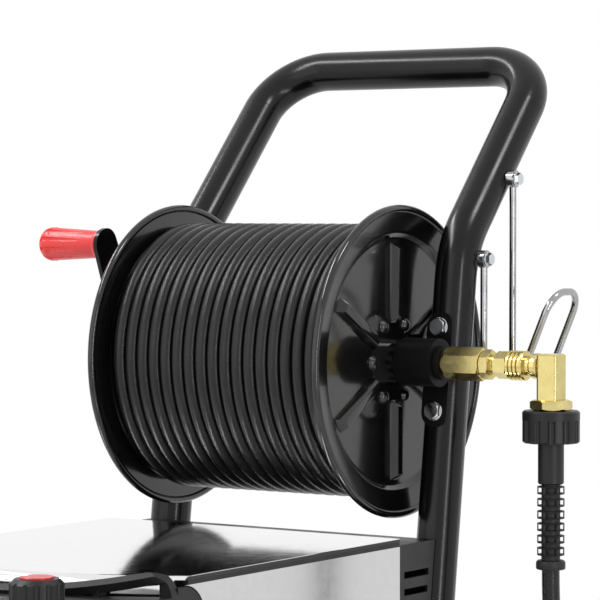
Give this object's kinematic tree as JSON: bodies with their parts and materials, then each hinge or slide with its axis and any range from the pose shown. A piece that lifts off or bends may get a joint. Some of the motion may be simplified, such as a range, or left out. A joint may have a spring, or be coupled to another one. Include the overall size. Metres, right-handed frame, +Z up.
{
  "type": "pressure washer",
  "caption": "Trolley pressure washer: stainless cabinet on wheels, bent tube handle, crank hose reel with high pressure hose, brass swivel and lance hook.",
  "frame": {"origin": "middle of the floor rectangle that the machine covers, without its jumper hose", "axes": "+Z up, +X to the machine's right, +Y to its handle at the rear"},
  "size_m": [0.5486, 0.7506, 0.931],
  "materials": {
    "black_tube": "gloss powder coat",
    "black_steel": "satin black paint",
    "black_gloss_steel": "high gloss black enamel",
    "stainless": "bright polished",
    "bronze": "oiled bearing bronze",
    "zinc_steel": "bright zinc",
    "brass": "polished",
    "chrome": "bright chrome",
    "black_plastic": "satin moulded",
    "black_rubber": "matt",
    "hose_rubber": "fine woven texture",
    "gauge_face": "plain dial",
    "motor_alloy": "cast",
    "red_grip": "moulded",
    "red_cap": "moulded",
    "switch_red": "moulded",
    "tyre": "matt",
    "rim_plastic": "moulded"
  },
  "bodies": {
    "root": {"left_upright": "black_tube", "right_upright": "black_tube", "left_bearing_bracket": "black_steel", "right_bearing_bracket": "black_steel", "left_side_panel": "stainless", "right_side_panel": "stainless", "handle_bar": "black_tube", "bearing_bushes": "bronze", "frame_bolts": "zinc_steel", "swivel_body": "brass", "swivel_nut": "brass", "coupler_body": "brass", "elbow": "brass", "elbow_nut": "brass", "hose_tail": "black_plastic", "strain_relief": "black_rubber", "jumper_hose": "hose_rubber", "jumper_nut": "brass", "lance_hook": "chrome", "top_lid": "stainless", "lid_seal": "black_rubber", "rear_cowl": "black_plastic", "base_tray": "black_plastic", "axle_brackets": "black_steel", "axle": "zinc_steel", "hub_caps": "black_plastic", "front_stand": "black_tube", "stand_pads": "black_rubber", "front_cowl": "black_plastic", "pressure_gauge": "gauge_face", "motor_body": "motor_alloy", "pump_head": "motor_alloy", "unloader_body": "brass", "outlet_elbow": "brass", "water_inlet": "brass"},
    "reel": {"left_flange": "black_gloss_steel", "right_flange": "black_gloss_steel", "reel_shaft": "zinc_steel", "shaft_collars": "black_steel", "reel_drum": "black_steel", "flange_bolts": "black_steel", "hose_winding": "hose_rubber", "hose_core": "hose_rubber", "hose_end_fitting": "brass", "crank_arm": "black_steel", "crank_nut": "zinc_steel", "grip_pin": "zinc_steel"},
    "crank_grip": {"crank_grip": "red_grip"},
    "left_wheel": {"left_tyre": "tyre", "left_rim": "rim_plastic"},
    "right_wheel": {"right_tyre": "tyre", "right_rim": "rim_plastic"},
    "regulator": {"regulator_knob": "black_plastic", "knob_cap": "red_cap", "regulator_stem": "zinc_steel"},
    "sleeve": {"coupler_sleeve": "brass"},
    "hose_nut": {"hose_nut": "black_plastic"},
    "switch": {"power_switch": "switch_red"},
    "rotor": {"rotor_shaft": "zinc_steel", "cooling_fan": "black_plastic"}
  },
  "joints": [
    {"name": "reel_spin", "type": "hinge", "parent": "root", "child": "reel", "pos_m": [-0.02575, 0.1457, 0.64], "axis": [1, 0, 0], "continuous": true},
    {"name": "grip_spin", "type": "hinge", "parent": "reel", "child": "crank_grip", "pos_m": [-0.24075, 0.1007, 0.743], "axis": [1, 0, 0], "continuous": true},
    {"name": "left_wheel_spin", "type": "hinge", "parent": "root", "child": "left_wheel", "pos_m": [-0.22275, 0.0857, 0.125], "axis": [1, 0, 0], "continuous": true},
    {"name": "right_wheel_spin", "type": "hinge", "parent": "root", "child": "right_wheel", "pos_m": [0.17125, 0.0857, 0.125], "axis": [1, 0, 0], "continuous": true},
    {"name": "regulator_turn", "type": "hinge", "parent": "root", "child": "regulator", "pos_m": [0.06025, -0.3243, 0.48], "axis": [0, 0, 1], "range_deg": [-150, 150]},
    {"name": "sleeve_slide", "type": "slide", "parent": "root", "child": "sleeve", "axis": [1, 0, 0], "range_m": [0, 0.0035], "stiffness_N_per_m": 400, "springref_m": -0.001},
    {"name": "hose_nut_turn", "type": "hinge", "parent": "root", "child": "hose_nut", "pos_m": [0.24925, 0.1457, 0.59], "axis": [0, 0, 1], "continuous": true},
    {"name": "switch_rock", "type": "hinge", "parent": "root", "child": "switch", "pos_m": [-0.11175, -0.3223, 0.46601], "axis": [1, 0, 0], "range_deg": [-6, 6]},
    {"name": "rotor_spin", "type": "hinge", "parent": "root", "child": "rotor", "pos_m": [-0.02575, 0.0617, 0.24], "axis": [0, 1, 0], "continuous": true}
  ]
}
